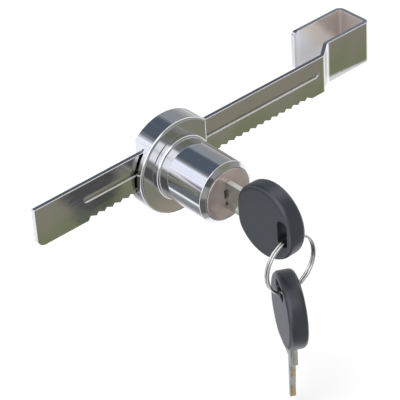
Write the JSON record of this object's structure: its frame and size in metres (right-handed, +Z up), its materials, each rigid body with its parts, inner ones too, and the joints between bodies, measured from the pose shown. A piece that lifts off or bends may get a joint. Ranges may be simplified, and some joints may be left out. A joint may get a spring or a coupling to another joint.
{
  "type": "sliding glass door ratchet lock",
  "caption": "Showcase lock for sliding glass doors: saw-toothed bar with a square hook, sliding drum lock head with round barrel, key with plastic head, spare key on a split ring.",
  "frame": {"origin": "on the plug's axis, in the plane of the lock head's back face", "axes": "+X along the bar towards its hook, +Y out of the back of the lock head, away from the user, +Z up"},
  "size_m": [0.133, 0.0739, 0.0745],
  "materials": {
    "bar_chrome": "polished chrome over pressed steel",
    "housing_chrome": "polished chrome over die casting",
    "cover_zinc": "zinc plated, satin",
    "screw_steel": "zinc plated",
    "plug_nickel": "nickel plated, satin face",
    "cam_steel": "plain steel",
    "clip_steel": "spring steel",
    "pawl_brass": "stamped brass",
    "spring_steel": "bright spring wire",
    "wafer_brass": "stamped brass",
    "key_nickel": "nickel plated, brass in the cuts",
    "key_plastic": "soft satin black",
    "ring_nickel": "nickel plated wire"
  },
  "bodies": {
    "bar": {"ratchet_bar": "bar_chrome"},
    "head": {"lock_housing": "housing_chrome", "back_cover": "cover_zinc", "cover_screws": "screw_steel", "pawl_spring": "spring_steel"},
    "plug": {"cylinder_plug": "plug_nickel", "plug_cam": "cam_steel", "plug_clip": "clip_steel", "wafer_spring_1": "spring_steel", "wafer_spring_2": "spring_steel", "wafer_spring_3": "spring_steel", "wafer_spring_4": "spring_steel"},
    "wafers": {"wafer_1": "wafer_brass", "wafer_2": "wafer_brass", "wafer_3": "wafer_brass", "wafer_4": "wafer_brass"},
    "pawl": {"pawl": "pawl_brass"},
    "key_1": {"key_1_blade": "key_nickel", "key_1_head": "key_plastic"},
    "ring": {"split_ring": "ring_nickel"},
    "key_2": {"key_2_blade": "key_nickel", "key_2_head": "key_plastic"}
  },
  "joints": [
    {"name": "head_slide", "type": "slide", "parent": "bar", "child": "head", "axis": [1, 0, 0], "range_m": [-0.023, 0.046]},
    {"name": "plug_turn", "type": "hinge", "parent": "head", "child": "plug", "pos_m": [0, 0, 0], "axis": [0, 1, 0], "range_deg": [0, 90]},
    {"name": "pawl_slide", "type": "slide", "parent": "head", "child": "pawl", "axis": [0, 0, -1], "range_m": [0, 0.0012], "deforming": ["pawl_spring"]},
    {"name": "key_withdraw", "type": "slide", "parent": "plug", "child": "key_1", "axis": [0, -1, 0], "range_m": [0, 0.018]},
    {"name": "wafer_drop", "type": "slide", "parent": "plug", "child": "wafers", "axis": [0, 0, -1], "range_m": [0, 0.001], "deforming": ["wafer_spring_1", "wafer_spring_2", "wafer_spring_3", "wafer_spring_4"]},
    {"name": "ring_swing", "type": "hinge", "parent": "key_1", "child": "ring", "pos_m": [0, -0.051, -0.0026], "axis": [1, 0, 0], "range_deg": [-25, 25]},
    {"name": "key_2_swing", "type": "hinge", "parent": "ring", "child": "key_2", "pos_m": [0, -0.051, -0.0114], "axis": [0, 1, 0], "range_deg": [-50, 50]}
  ],
  "couplings": [
    {"joint": "pawl_slide", "follows": "plug_turn", "m_per_rad": 0.0007639},
    {"joint": "wafer_drop", "follows": "key_withdraw", "ratio": 0.05555}
  ]
}
